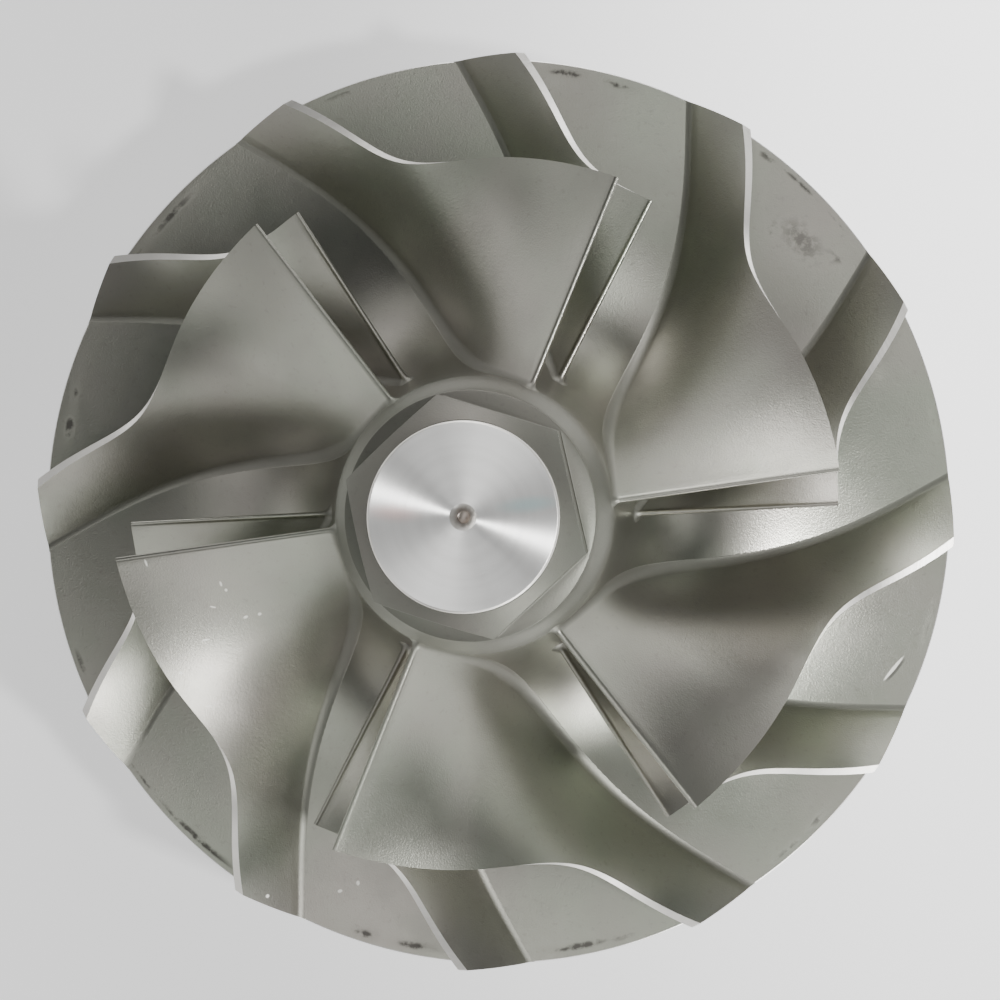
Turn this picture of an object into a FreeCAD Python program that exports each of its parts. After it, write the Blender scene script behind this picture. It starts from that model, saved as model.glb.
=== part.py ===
import FreeCAD, Part
import math
import os
import Sketcher
from FreeCAD import Vector, Placement, Rotation

# Turbocharger compressor wheel, boreless type, milled and cast in one piece.
# Axis of rotation on Z, nose up.  The origin is the centre of the flat end
# of the rear boss, the face that seats on the shaft.  Millimetres, degrees.

doc = FreeCAD.newDocument("compressor_wheel")

# ---------------------------------------------------------------- dimensions
sheet = doc.addObject("Spreadsheet::Sheet", "Dimensions")
DIMS = [
    # disc and hub
    ("exducer_radius", 51.0),       # outer radius of disc and blade tips
    ("rim_top", 14.0),              # height of the disc's front edge
    ("rim_bottom", 12.1),           # height of the disc's rear face at the rim
    ("rim_break", 0.25),            # broken edge behind the rim
    ("hub_inlet_radius", 14.03),    # hub radius under the leading edges
    ("hub_inlet_height", 46.89),
    ("hub_handle_a_radius", 14.82),
    ("hub_handle_a_height", 25.20),
    ("hub_handle_b_radius", 24.65),
    ("hub_handle_b_height", 14.59),
    # rear face and boss
    ("back_flat_radius", 46.0),
    ("back_handle_a_radius", 36.0),
    ("back_handle_b_radius", 26.5),
    ("back_handle_b_height", 6.4),
    ("boss_radius", 15.0),
    ("boss_root_radius", 16.6),
    ("boss_root_height", 4.8),
    ("boss_fillet_height", 3.2),
    ("boss_break", 0.5),
    # nose
    ("nose_height", 62.4),
    ("nose_face_radius", 9.2),
    ("nose_face_break", 0.22),
    ("nose_land_height", 61.85),
    ("nose_neck_radius", 9.3),
    ("nose_stock_radius", 12.42),
    ("nose_shoulder_height", 58.6),
    ("nose_foot_height", 51.6),
    ("nose_foot_handle", 50.0),
    ("nose_hub_handle", 49.2),
    ("hex_across_flats", 21.0),
    ("hex_floor_height", 52.9),
    ("hex_phase", 12.95),
    ("centre_cone_radius", 1.3),
    ("centre_pilot_radius", 0.62),
    ("centre_pilot_depth", 2.3),
    # blind bore in the boss
    ("bore_pilot_radius", 6.3),
    ("bore_pilot_depth", 5.5),
    ("bore_thread_drill", 10.8),
    ("bore_depth", 27.0),
    ("bore_mouth_break", 0.4),
    # shroud line of the blades
    ("inducer_tip_radius", 36.95),
    ("inducer_tip_height", 45.55),
    ("shroud_bend_radius", 37.27),
    ("shroud_bend_height", 36.32),
    ("shroud_handle_a_height", 25.28),
    ("shroud_handle_b_radius", 41.81),
    ("shroud_handle_b_height", 22.03),
    ("exducer_tip_height", 19.22),
    # blade roots stop inside the thin outer disc
    ("root_trim_radius", 38.0),
    ("root_trim_height", 13.05),
    # blades
    ("blade_pairs", 6.0),
    ("splitter_shift", 30.0),       # splitter's angular offset
    ("splitter_start_hub", 0.245),  # where the splitters begin, along the hub
    ("splitter_start_shroud", 0.333),
    ("wrap_shroud_a", 7.364),
    ("wrap_shroud_b", 65.317),
    ("wrap_shroud_c", 105.357),
    ("wrap_shroud_d", -330.453),
    ("wrap_shroud_e", 299.116),
    ("wrap_shroud_f", -90.288),
    ("wrap_hub_first", 6.42),
    ("wrap_hub_last", 62.56),
    ("wrap_hub_a", 85.43),
    ("wrap_hub_b", -144.27),
    ("wrap_hub_c", 84.30),
    ("tip_half_thickness", 0.32),
    ("root_half_thickness", 1.15),
    ("lead_tip_half_thickness", 0.27),
    ("lead_root_half_thickness", 0.36),
    ("lead_growth", 0.20),          # share of the chord over which it thickens
    ("root_fillet", 1.25),
    ("lead_fillet_share", 0.60),    # the fillet starts this small at the leading edge
    ("lead_fillet_run", 0.30),      # and is full after this share of the chord
    ("root_embed", 1.15),           # depth of the blade root inside the hub
]
for i, (alias, value) in enumerate(DIMS, start=1):
    sheet.set("A%d" % i, alias)
    sheet.set("B%d" % i, "%.6g" % value)
    sheet.setAlias("B%d" % i, alias)
doc.recompute()


def dim(alias):
    return float(getattr(sheet, alias))


def cell(alias):
    return "<<%s>>.%s" % (sheet.Label, alias)


def origin_plane(body, role):
    for feature in body.Origin.OriginFeatures:
        if feature.Role == role:
            return feature
    raise RuntimeError("no origin feature %s" % role)


def add_sketch(body, name, role):
    sketch = body.newObject("Sketcher::SketchObject", name)
    sketch.AttachmentSupport = [(origin_plane(body, role), "")]
    sketch.MapMode = "FlatFace"
    return sketch


def bind(sketch, name, constraint, expression):
    index = sketch.addConstraint(constraint)
    sketch.renameConstraint(index, name)
    sketch.setExpression("Constraints." + name, expression)
    return index


class Profile:
    """A closed outline in a sketch whose every corner and every curve pole is
    held by a horizontal and a vertical dimension bound to the sheet."""

    def __init__(self, sketch):
        self.sketch = sketch
        self.first = None
        self.last = None
        self.point = None
        self.count = 0

    def _value(self, item):
        if isinstance(item, str):
            total = 0.0
            for sign, word in split_terms(item):
                total += sign * (dim(word) if not is_number(word) else float(word))
            return total
        return float(item)

    def _expression(self, item):
        if isinstance(item, str):
            text = ""
            for sign, word in split_terms(item):
                text += (" - " if sign < 0 else " + ") + (word if is_number(word) else cell(word))
            return text.strip().lstrip("+").strip()
        return None

    def _hold(self, geo, pos, x, y):
        self.count += 1
        tag = "n%d" % self.count
        for axis, kind, item in (("a", "DistanceX", x), ("b", "DistanceY", y)):
            value = self._value(item)
            if abs(value) < 1e-9:
                other = -2 if axis == "a" else -1
                self.sketch.addConstraint(Sketcher.Constraint("PointOnObject", geo, pos, other))
                continue
            index = self.sketch.addConstraint(Sketcher.Constraint(kind, -1, 1, geo, pos, value))
            expression = self._expression(item)
            if expression:
                self.sketch.renameConstraint(index, tag + axis)
                self.sketch.setExpression("Constraints." + tag + axis, expression)

    def start(self, x, y):
        self.point = (x, y)
        self.origin = (x, y)

    def line(self, x, y):
        a = Vector(self._value(self.point[0]), self._value(self.point[1]), 0)
        b = Vector(self._value(x), self._value(y), 0)
        geo = self.sketch.addGeometry(Part.LineSegment(a, b), False)
        self._join(geo)
        self._hold(geo, 2, x, y)
        self.point = (x, y)

    def close(self):
        a = Vector(self._value(self.point[0]), self._value(self.point[1]), 0)
        b = Vector(self._value(self.origin[0]), self._value(self.origin[1]), 0)
        geo = self.sketch.addGeometry(Part.LineSegment(a, b), False)
        self._join(geo)
        self.sketch.addConstraint(Sketcher.Constraint("Coincident", geo, 2, self.first, 1))

    def curve(self, one, two, end):
        """Cubic curve from the current point with two handles."""
        items = [self.point, one, two, end]
        poles = [Vector(self._value(x), self._value(y), 0) for x, y in items]
        spline = Part.BSplineCurve()
        spline.buildFromPolesMultsKnots(poles, [4, 4], [0.0, 1.0], False, 3)
        geo = self.sketch.addGeometry(spline, False)
        self._join(geo)
        self._hold(geo, 2, end[0], end[1])
        handles = []
        for k in range(4):
            circle = self.sketch.addGeometry(
                Part.Circle(poles[k], Vector(0, 0, 1), 0.6), True)
            handles.append(circle)
            self.sketch.addConstraint(Sketcher.Constraint(
                "InternalAlignment:Sketcher::BSplineControlPoint", circle, 3, geo, k))
        for k in (1, 2):
            self._hold(handles[k], 3, items[k][0], items[k][1])
        self.point = end

    def _join(self, geo):
        if self.first is None:
            self.first = geo
            self._hold(geo, 1, self.point[0], self.point[1])
        else:
            self.sketch.addConstraint(
                Sketcher.Constraint("Coincident", self.last, 2, geo, 1))
        self.last = geo


def is_number(word):
    return word.replace(".", "", 1).isdigit()


def split_terms(text):
    terms = []
    sign = 1
    for word in text.split():
        if word == "+":
            sign = 1
        elif word == "-":
            sign = -1
        else:
            terms.append((sign, word))
            sign = 1
    return terms


# ------------------------------------------------------------------ hub body
hub = doc.addObject("PartDesign::Body", "Hub")
hub.Label = "hub_body"
doc.recompute()

profile_sketch = add_sketch(hub, "HubProfile", "XZ_Plane")
p = Profile(profile_sketch)
p.start(0, 0)
p.line("boss_radius - boss_break", 0)
p.line("boss_radius", "boss_break")
p.line("boss_radius", "boss_fillet_height")
p.curve(("boss_radius", "boss_root_height - 0.6"),
        ("boss_root_radius - 0.8", "boss_root_height - 0.12"),
        ("boss_root_radius", "boss_root_height"))
p.curve(("back_handle_b_radius", "back_handle_b_height"),
        ("back_handle_a_radius", "rim_bottom"),
        ("back_flat_radius", "rim_bottom"))
p.line("exducer_radius - rim_break", "rim_bottom")
p.line("exducer_radius", "rim_bottom + rim_break")
p.line("exducer_radius", "rim_top")
p.curve(("hub_handle_b_radius", "hub_handle_b_height"),
        ("hub_handle_a_radius", "hub_handle_a_height"),
        ("hub_inlet_radius", "hub_inlet_height"))
p.curve(("hub_inlet_radius - 0.08", "nose_hub_handle"),
        ("nose_stock_radius", "nose_foot_handle"),
        ("nose_stock_radius", "nose_foot_height"))
p.line("nose_stock_radius", "nose_shoulder_height")
p.curve(("nose_stock_radius - 0.5", "nose_shoulder_height + 0.85"),
        ("nose_neck_radius + 0.9", "nose_land_height - 0.75"),
        ("nose_neck_radius", "nose_land_height"))
p.line("nose_face_radius", "nose_land_height")
p.line("nose_face_radius", "nose_height - nose_face_break")
p.line("nose_face_radius - nose_face_break", "nose_height")
p.line(0, "nose_height")
p.close()

revolution = hub.newObject("PartDesign::Revolution", "HubRevolution")
revolution.Profile = profile_sketch
revolution.ReferenceAxis = (profile_sketch, ["V_Axis"])
revolution.Angle = 360.0
doc.recompute()
solid_volume = revolution.Shape.Volume

# One flat of the integral hexagon, then six of them round the axis.
flat_sketch = add_sketch(hub, "HexFlatProfile", "XY_Plane")
flat_sketch.AttachmentOffset = Placement(
    Vector(0, 0, dim("nose_height") + 1.0), Rotation(Vector(0, 0, 1), dim("hex_phase")))
flat_sketch.setExpression("AttachmentOffset.Base.z", cell("nose_height") + " + 1")
flat_sketch.setExpression("AttachmentOffset.Rotation.Angle", cell("hex_phase"))
near, far, wide = dim("hex_across_flats") / 2.0, 16.0, 14.0
corners = [Vector(near, -wide, 0), Vector(far, -wide, 0), Vector(far, wide, 0), Vector(near, wide, 0)]
for k in range(4):
    flat_sketch.addGeometry(Part.LineSegment(corners[k], corners[(k + 1) % 4]), False)
for k in range(4):
    flat_sketch.addConstraint(Sketcher.Constraint("Coincident", k, 2, (k + 1) % 4, 1))
for k, kind in enumerate(("Horizontal", "Vertical", "Horizontal", "Vertical")):
    flat_sketch.addConstraint(Sketcher.Constraint(kind, k))
bind(flat_sketch, "flat_distance", Sketcher.Constraint("DistanceX", -1, 1, 0, 1, near),
     cell("hex_across_flats") + " / 2")
flat_sketch.addConstraint(Sketcher.Constraint("DistanceX", -1, 1, 0, 2, far))
flat_sketch.addConstraint(Sketcher.Constraint("DistanceY", 0, 2, 1, 2, 2 * wide))
flat_sketch.addConstraint(Sketcher.Constraint("DistanceY", 0, 1, -1, 1, wide))

flat = hub.newObject("PartDesign::Pocket", "HexFlat")
flat.Profile = flat_sketch
flat.Type = "Length"
flat.Length = dim("nose_height") + 1.0 - dim("hex_floor_height")
flat.setExpression("Length", cell("nose_height") + " + 1 - " + cell("hex_floor_height"))
doc.recompute()
if flat.Shape.Volume > solid_volume - 1.0:
    raise RuntimeError("hexagon flat cuts nothing")

flats = hub.newObject("PartDesign::PolarPattern", "HexFlats")
flats.Originals = [flat]
flats.Axis = (profile_sketch, ["V_Axis"])
flats.Angle = 360.0
flats.Occurrences = 6
hub.Tip = flats
doc.recompute()
hex_volume = flats.Shape.Volume
if hex_volume > flat.Shape.Volume - 1.0:
    raise RuntimeError("hexagon pattern is missing")

# Centre-drill mark in the turned nose face.
centre_sketch = add_sketch(hub, "CentreMarkProfile", "XZ_Plane")
c = Profile(centre_sketch)
c.start(0, "nose_height + 1")
c.line(0, "nose_height - centre_pilot_depth")
c.line("centre_pilot_radius", "nose_height - centre_pilot_depth + 0.35")
c.line("centre_pilot_radius", "nose_height - 1.18")
c.line("centre_cone_radius", "nose_height")
c.line("centre_cone_radius", "nose_height + 1")
c.close()
centre = hub.newObject("PartDesign::Groove", "CentreMark")
centre.Profile = centre_sketch
centre.ReferenceAxis = (centre_sketch, ["V_Axis"])
centre.Angle = 360.0
hub.Tip = centre
doc.recompute()
if centre.Shape.Volume > hex_volume - 0.5:
    raise RuntimeError("centre mark cuts nothing")
centre_volume = centre.Shape.Volume

# Blind threaded bore from the rear, with a plain pilot at its mouth.
bore_sketch = add_sketch(hub, "BoreCentre", "XY_Plane")
bore_sketch.addGeometry(Part.Circle(Vector(0, 0, 0), Vector(0, 0, 1), dim("bore_thread_drill") / 2.0), False)
bore_sketch.addConstraint(Sketcher.Constraint("Coincident", 0, 3, -1, 1))
bind(bore_sketch, "drill_diameter",
     Sketcher.Constraint("Diameter", 0, dim("bore_thread_drill")), cell("bore_thread_drill"))
doc.recompute()
bore = hub.newObject("PartDesign::Hole", "ThreadedBore")
bore.Profile = bore_sketch
bore.Reversed = True
bore.Threaded = False
bore.ThreadType = 0
bore.HoleCutType = "Counterbore"
bore.DepthType = "Dimension"
bore.DrillPoint = "Angled"
bore.DrillPointAngle = 118.0
bore.Tapered = False
bore.setExpression("Diameter", cell("bore_thread_drill"))
bore.setExpression("Depth", cell("bore_depth"))
bore.setExpression("HoleCutDiameter", "2 * " + cell("bore_pilot_radius"))
bore.setExpression("HoleCutDepth", cell("bore_pilot_depth"))
hub.Tip = bore
doc.recompute()
expected = (math.pi / 4) * (dim("bore_thread_drill") ** 2 * dim("bore_depth")
                            + (4 * dim("bore_pilot_radius") ** 2 - dim("bore_thread_drill") ** 2)
                            * dim("bore_pilot_depth"))
removed = centre_volume - bore.Shape.Volume
print("bore removes %.1f, plain cylinders %.1f" % (removed, expected))
if removed < 0.95 * expected:
    raise RuntimeError("bore cuts too little")

# Broken edge at the mouth of the bore.
mouth_sketch = add_sketch(hub, "MouthBreakProfile", "XZ_Plane")
e = Profile(mouth_sketch)
e.start("bore_pilot_radius - 1", -1)
e.line("bore_pilot_radius - 1", "bore_mouth_break")
e.line("bore_pilot_radius", "bore_mouth_break")
e.line("bore_pilot_radius + bore_mouth_break", 0)
e.line("bore_pilot_radius + bore_mouth_break", -1)
e.close()
mouth = hub.newObject("PartDesign::Groove", "MouthBreak")
mouth.Profile = mouth_sketch
mouth.ReferenceAxis = (mouth_sketch, ["V_Axis"])
mouth.Angle = 360.0
hub.Tip = mouth
doc.recompute()
if mouth.Shape.Volume > bore.Shape.Volume - 0.5:
    raise RuntimeError("mouth break cuts nothing")

# ------------------------------------------------------- shroud-line envelope
# A turned solid whose outside is the machined line of the blade tips.
envelope = doc.addObject("PartDesign::Body", "ShroudEnvelope")
envelope.Label = "shroud_envelope"
doc.recompute()
shroud_sketch = add_sketch(envelope, "ShroudProfile", "XZ_Plane")
w = Profile(shroud_sketch)
w.start(0, 5)
w.line("root_trim_radius", 5)
w.line("root_trim_radius", "root_trim_height")
w.line("exducer_radius", "root_trim_height")
w.line("exducer_radius", "exducer_tip_height")
w.curve(("shroud_handle_b_radius", "shroud_handle_b_height"),
        ("shroud_bend_radius", "shroud_handle_a_height"),
        ("shroud_bend_radius", "shroud_bend_height"))
w.line("inducer_tip_radius", "inducer_tip_height")
w.line("inducer_tip_radius", "inducer_tip_height + 5")
w.line(0, "inducer_tip_height + 5")
w.close()
turned = envelope.newObject("PartDesign::Revolution", "ShroudRevolution")
turned.Profile = shroud_sketch
turned.ReferenceAxis = (shroud_sketch, ["V_Axis"])
turned.Angle = 360.0
doc.recompute()


# --------------------------------------------------------------------- blades
def bezier(poles, u):
    a = (1 - u) ** 3
    b = 3 * (1 - u) ** 2 * u
    c3 = 3 * (1 - u) * u * u
    d = u ** 3
    return (a * poles[0][0] + b * poles[1][0] + c3 * poles[2][0] + d * poles[3][0],
            a * poles[0][1] + b * poles[1][1] + c3 * poles[2][1] + d * poles[3][1])


class Meridian:
    """A line in the radius-height plane, read by its share of length."""

    def __init__(self, points):
        self.points = points
        self.run = [0.0]
        for (r0, z0), (r1, z1) in zip(points, points[1:]):
            self.run.append(self.run[-1] + math.hypot(r1 - r0, z1 - z0))

    def at(self, share):
        target = share * self.run[-1]
        if share >= 1.0:
            i = len(self.run) - 1
        else:
            i = 1
            while self.run[i] < target:
                i += 1
        f = (target - self.run[i - 1]) / (self.run[i] - self.run[i - 1])
        (r0, z0), (r1, z1) = self.points[i - 1], self.points[i]
        return (r0 + f * (r1 - r0), z0 + f * (z1 - z0))


hub_poles = [(dim("hub_inlet_radius"), dim("hub_inlet_height")),
             (dim("hub_handle_a_radius"), dim("hub_handle_a_height")),
             (dim("hub_handle_b_radius"), dim("hub_handle_b_height")),
             (dim("exducer_radius"), dim("rim_top"))]
shroud_poles = [(dim("shroud_bend_radius"), dim("shroud_bend_height")),
                (dim("shroud_bend_radius"), dim("shroud_handle_a_height")),
                (dim("shroud_handle_b_radius"), dim("shroud_handle_b_height")),
                (dim("exducer_radius"), dim("exducer_tip_height"))]
STEPS = 400
hub_line = Meridian([bezier(hub_poles, k / STEPS) for k in range(STEPS + 1)])
shroud_line = Meridian(
    [(dim("inducer_tip_radius"), dim("inducer_tip_height"))]
    + [bezier(shroud_poles, k / STEPS) for k in range(STEPS + 1)])


def wrap_shroud(share):
    x = min(share, 1.0)
    terms = [dim("wrap_shroud_" + k) for k in "abcdef"]
    value = sum(t * x ** n for n, t in enumerate(terms))
    if share > 1.0:
        slope = sum(n * t for n, t in enumerate(terms))
        value += slope * (share - 1.0)
    return math.radians(value)


def wrap_hub(share):
    first, last = dim("wrap_hub_first"), dim("wrap_hub_last")
    a, b, c2 = dim("wrap_hub_a"), dim("wrap_hub_b"), dim("wrap_hub_c")
    x = min(share, 1.0)
    value = first + (last - first) * x + x * (1 - x) * (a + b * x + c2 * x * x)
    if share > 1.0:
        value += ((last - first) - (a + b + c2)) * (share - 1.0)
    return math.radians(value)


def on_line(line, wrap, share):
    r, z = line.at(share)
    angle = wrap(share)
    return Vector(r * math.cos(angle), r * math.sin(angle), z)


def smooth(x):
    x = max(0.0, min(1.0, x))
    return x * x * (3 - 2 * x)


class Blade:
    """Grid of poles of one blade: ruled camber from hub to shroud, thickness
    that tapers to the tip, a flared root fillet and a rounded leading edge."""

    REACH = 1.035    # the blank runs past the disc's edge by this share

    def __init__(self, start_hub, start_shroud, turn, columns):
        self.start_hub = start_hub
        self.start_shroud = start_shroud
        self.turn = Rotation(Vector(0, 0, 1), turn)
        self.columns = columns
        self.over = 1.3          # overlap past the shroud line

    def ends(self, u):
        span = self.REACH
        a = self.start_hub + (span - self.start_hub) * u
        b = self.start_shroud + (span - self.start_shroud) * u
        return on_line(hub_line, wrap_hub, a), on_line(shroud_line, wrap_shroud, b)

    def station(self, u):
        """Rows of (point, normal, upstream, half thickness, bulge)."""
        root, tip = self.ends(u)
        d = 0.002
        r0, t0 = self.ends(u - d if u > d else u)
        r1, t1 = self.ends(u + d)
        ruling = tip - root
        length = ruling.Length
        along = ruling * (1.0 / length)
        grow = smooth(u / dim("lead_growth"))
        half_root = dim("lead_root_half_thickness") * (1 - grow) + dim("root_half_thickness") * grow
        half_tip = dim("lead_tip_half_thickness") * (1 - grow) + dim("tip_half_thickness") * grow
        small = dim("lead_fillet_share")
        fillet = dim("root_fillet") * (small + (1 - small) * smooth(u / dim("lead_fillet_run")))
        levels = [-dim("root_embed"), -0.45 * dim("root_embed"), 0.0,
                  0.14 * fillet, 0.32 * fillet, 0.55 * fillet, 0.82 * fillet,
                  1.15 * fillet, 1.6 * fillet]
        body = 7
        last = length + self.over
        first_free = levels[-1]
        for k in range(1, body + 1):
            levels.append(first_free + (last - first_free) * k / body)
        rows = []
        for level in levels:
            share = level / length
            point = root + along * level
            tangent = (r1 - r0) * (1 - share) + (t1 - t0) * share
            normal = tangent.cross(along)
            normal.normalize()
            tangent.normalize()
            x = max(0.0, min(1.0, share))
            half = half_root * (1 - x) + half_tip * x
            depth = level + 0.12 * fillet
            flare = 0.0
            if depth < fillet:
                y = max(depth, 0.06 * fillet)
                flare = fillet - math.sqrt(max(0.0, fillet ** 2 - (fillet - y) ** 2))
            rows.append((point, normal, tangent, half, flare))
        return rows

    def grids(self):
        minus, plus, nose = [], [], []
        for i in range(self.columns):
            u = i / (self.columns - 1.0)
            if i in (1, 2):
                u = u * (0.45 if i == 1 else 0.75)
            rows = self.station(u)
            minus.append([pt - n * (h0 + f) for pt, n, t, h0, f in rows])
            plus.append([pt + n * (h0 + f) for pt, n, t, h0, f in rows])
            if i == 0:
                lead_minus = [pt - n * (h0 + f) - t * (2.0 * h0 + 1.25 * f) for pt, n, t, h0, f in rows]
                lead_plus = [pt + n * (h0 + f) - t * (2.0 * h0 + 1.25 * f) for pt, n, t, h0, f in rows]
                nose = [minus[0], lead_minus, lead_plus, plus[0]]
        turn = self.turn
        move = lambda grid: [[turn.multVec(v) for v in row] for row in grid]
        return move(minus), move(plus), move(nose)

    def solid(self):
        minus, plus, nose = self.grids()
        count = self.columns
        levels = len(minus[0])

        def strip(k, level):
            a, b = minus[k][level], plus[k][level]
            if k == 0:
                return [nose[0][level], nose[1][level], nose[2][level], nose[3][level]]
            return [a, a + (b - a) * (1 / 3.0), a + (b - a) * (2 / 3.0), b]

        top = [strip(k, levels - 1) for k in range(count)]
        bottom = [strip(k, 0) for k in range(count)]
        tail = []
        for level in range(levels):
            a, b = minus[-1][level], plus[-1][level]
            tail.append([a, a + (b - a) * (1 / 3.0), a + (b - a) * (2 / 3.0), b])
        front = [[nose[c4][level] for c4 in range(4)] for level in range(levels)]
        faces = [pole_face(g) for g in (minus, plus, top, bottom, tail, front)]
        solid = Part.Solid(sew(faces))
        if solid.Volume < 0:
            solid.reverse()
        return solid


def knots(count):
    inner = count - 4
    values = [0.0] + [float(k + 1) for k in range(inner)] + [float(inner + 1)]
    mults = [4] + [1] * inner + [4]
    return values, mults


def pole_face(grid):
    ku, mu = knots(len(grid))
    kv, mv = knots(len(grid[0]))
    surface = Part.BSplineSurface()
    surface.buildFromPolesMultsKnots(grid, mu, mv, ku, kv, False, False, 3, 3)
    return surface.toShape()


def sew(faces):
    shape = Part.makeCompound(faces)
    shape.sewShape(0.002)
    shells = shape.Shells
    if len(shells) != 1 or not shells[0].isClosed():
        raise RuntimeError("blade blank is not closed: %d shells" % len(shells))
    return shells[0]


full_blank = doc.addObject("Part::Feature", "FullBladeBlank")
full_blank.Label = "full_blade_blank"
full_blank.Shape = Blade(0.0, 0.0, 0.0, 30).solid()

splitter_blank = doc.addObject("Part::Feature", "SplitterBladeBlank")
splitter_blank.Label = "splitter_blade_blank"
splitter_blank.Shape = Blade(dim("splitter_start_hub"), dim("splitter_start_shroud"),
                             -dim("splitter_shift"), 24).solid()
doc.recompute()
print("blank volumes %.1f %.1f valid %s %s" % (
    full_blank.Shape.Volume, splitter_blank.Shape.Volume,
    full_blank.Shape.isValid(), splitter_blank.Shape.isValid()))

full_blade = doc.addObject("Part::MultiCommon", "FullBlade")
full_blade.Label = "full_blade"
full_blade.Shapes = [full_blank, envelope]
splitter_blade = doc.addObject("Part::MultiCommon", "SplitterBlade")
splitter_blade.Label = "splitter_blade"
splitter_blade.Shapes = [splitter_blank, envelope]
doc.recompute()
print("trimmed volumes %.1f %.1f valid %s %s" % (
    full_blade.Shape.Volume, splitter_blade.Shape.Volume,
    full_blade.Shape.isValid(), splitter_blade.Shape.isValid()))


def round_the_axis(name, label, source):
    count = int(round(dim("blade_pairs")))
    copies = []
    for k in range(count):
        copy = source.Shape.copy()
        copy.rotate(Vector(0, 0, 0), Vector(0, 0, 1), 360.0 * k / count)
        copies.append(copy)
    feature = doc.addObject("Part::Feature", name)
    feature.Label = label
    feature.Shape = Part.makeCompound(copies)
    return feature


full_set = round_the_axis("FullBladeSet", "full_blade_set", full_blade)
splitter_set = round_the_axis("SplitterBladeSet", "splitter_blade_set", splitter_blade)

wheel = doc.addObject("Part::MultiFuse", "CompressorWheel")
wheel.Label = "compressor_wheel"
wheel.Shapes = [hub, full_set, splitter_set]
doc.recompute()
wheel.Placement = Placement(Vector(0, 0, 0), Rotation(Vector(0, 0, 1), 0))
doc.recompute()

# --------------------------------------------------------------------- checks
for item in doc.Objects:
    bad = [word for word in item.State if word in ("Invalid", "Error")]
    if bad:
        raise RuntimeError("%s is %s" % (item.Name, bad))
    shape = getattr(item, "Shape", None)
    if shape is not None and item.TypeId.startswith(("Part::", "PartDesign::Body")):
        if shape.isNull() or not shape.isValid():
            raise RuntimeError("%s has no valid shape" % item.Name)

shape = wheel.Shape
if len(shape.Solids) != 1:
    raise RuntimeError("the wheel is %d solids" % len(shape.Solids))
box = shape.optimalBoundingBox()
print("wheel volume %.1f mm3, mass %.1f g in cast aluminium" % (
    shape.Volume, shape.Volume * 2.68e-3))
print("box x %.3f %.3f y %.3f %.3f z %.3f %.3f" % (
    box.XMin, box.XMax, box.YMin, box.YMax, box.ZMin, box.ZMax))

os.makedirs("parts", exist_ok=True)
shape.exportStep("parts/compressor_wheel.step")
print("written")
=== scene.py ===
import math
import bpy
import numpy as np
from mathutils import Matrix, Vector


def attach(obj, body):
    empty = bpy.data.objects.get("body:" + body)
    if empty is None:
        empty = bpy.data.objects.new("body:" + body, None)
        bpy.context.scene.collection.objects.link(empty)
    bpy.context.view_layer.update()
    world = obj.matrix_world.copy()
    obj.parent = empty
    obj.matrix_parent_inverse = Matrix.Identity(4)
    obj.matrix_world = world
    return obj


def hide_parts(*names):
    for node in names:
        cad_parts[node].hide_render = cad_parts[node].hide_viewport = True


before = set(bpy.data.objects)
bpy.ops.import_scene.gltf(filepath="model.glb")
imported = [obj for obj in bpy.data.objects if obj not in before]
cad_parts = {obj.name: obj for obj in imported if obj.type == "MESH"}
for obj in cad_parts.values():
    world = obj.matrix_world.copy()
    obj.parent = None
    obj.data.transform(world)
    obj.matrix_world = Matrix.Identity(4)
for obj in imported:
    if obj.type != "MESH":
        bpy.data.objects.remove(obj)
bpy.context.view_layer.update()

# ------------------------------------------------------------------ sizes, mm
EXD = 51.0
RIM_TOP, RIM_BOTTOM = 14.0, 12.1
HUB = [(14.03, 46.89), (14.82, 25.20), (24.65, 14.59), (51.0, 14.0)]
BEND = [(37.27, 36.32), (37.27, 25.28), (41.81, 22.03), (51.0, 19.22)]
INDUCER_TIP = (36.95, 45.55)
WRAP_S = [-90.288, 299.116, -330.453, 105.357, 65.317, 7.364]
WRAP_H = (6.42, 62.56, 85.43, -144.27, 84.30)
TIP_HALF, ROOT_HALF = 0.32, 1.15
LEAD_TIP_HALF, LEAD_ROOT_HALF, LEAD_GROWTH = 0.27, 0.36, 0.20
LEAD_FILLET, LEAD_FILLET_RUN = 0.60, 0.30
FILLET = 1.25
HEX_HALF, HEX_PHASE, HEX_FLOOR = 10.5, 12.95, 52.9
NOSE_TOP = 62.4
DISC_EDGE = 50.992      # blades stop a hair inside the disc's edge


def bez(p, t):
    t = t[:, None]
    p = [np.array(q, float) for q in p]
    return (1 - t) ** 3 * p[0] + 3 * (1 - t) ** 2 * t * p[1] + 3 * (1 - t) * t * t * p[2] + t ** 3 * p[3]


def resample(line, share):
    """Points of a polyline at these shares of its length; shares past 1 go on straight."""
    run = np.r_[0, np.cumsum(np.hypot(*np.diff(line, axis=0).T))]
    run /= run[-1]
    out = np.stack([np.interp(share, run, line[:, k]) for k in (0, 1)], -1)
    over = np.clip(share - 1.0, 0, None)[:, None]
    end = (line[-1] - line[-2]) / (run[-1] - run[-2])
    return out + over * end


def smooth(x):
    x = np.clip(x, 0, 1)
    return x * x * (3 - 2 * x)


def unit(v):
    return v / np.linalg.norm(v, axis=-1, keepdims=True)


T401 = np.linspace(0, 1, 401)
HUB_LINE = bez(HUB, T401)
SHROUD_LINE = np.vstack([[INDUCER_TIP], bez(BEND, T401)])


def wrap_s(m):
    x = np.minimum(m, 1.0)
    slope = np.polyval(np.polyder(WRAP_S), 1.0)
    return np.radians(np.polyval(WRAP_S, x) + slope * np.clip(m - 1, 0, None))


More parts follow.
